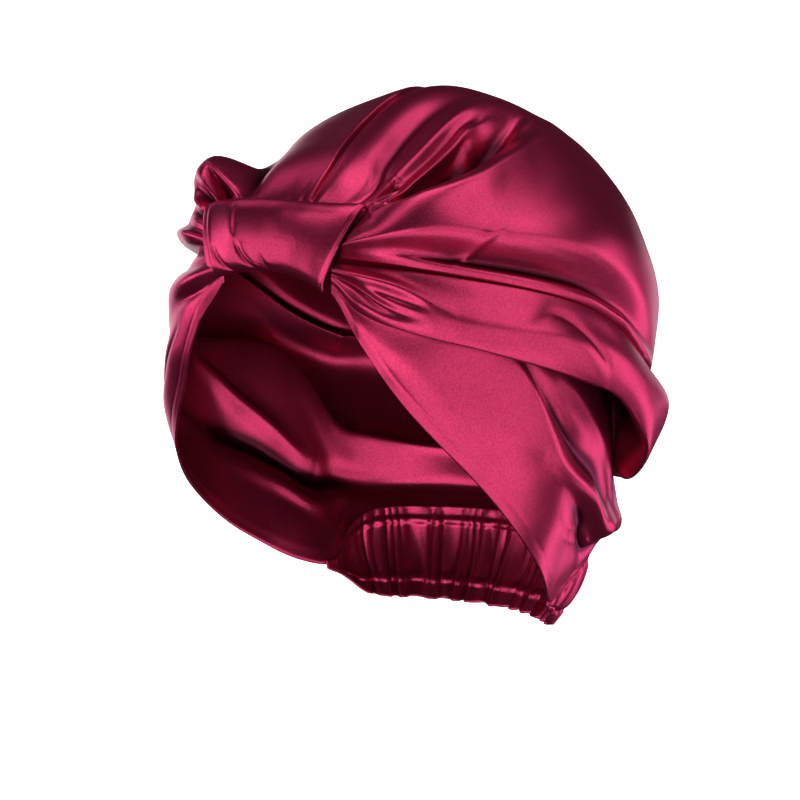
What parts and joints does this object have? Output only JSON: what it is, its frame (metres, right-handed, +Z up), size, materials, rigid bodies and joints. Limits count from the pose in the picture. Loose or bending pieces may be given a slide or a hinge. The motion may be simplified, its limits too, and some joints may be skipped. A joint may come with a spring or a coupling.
{
  "type": "satin turban sleep cap",
  "caption": "Turban-style sleep cap of glossy wine-red satin: gathered crown, draped side bands, a front tab and a ruffled elastic casing at the nape.",
  "frame": {"origin": "highest point of the crown's inner face, where the top of the head bears", "axes": "+Z up, +X the wearer's left, -Y the face"},
  "size_m": [0.1992, 0.2092, 0.2241],
  "materials": {
    "satin_crown": "glossy wine-red satin weave",
    "satin_band": "glossy wine-red satin weave",
    "satin_tab": "glossy wine-red satin weave, finely crinkled",
    "satin_casing": "glossy wine-red satin weave, gathered on elastic"
  },
  "bodies": {
    "root": {"crown": "satin_crown", "side_band_left": "satin_band", "side_band_right": "satin_band", "front_tab": "satin_tab", "nape_casing": "satin_casing"}
  },
  "joints": []
}
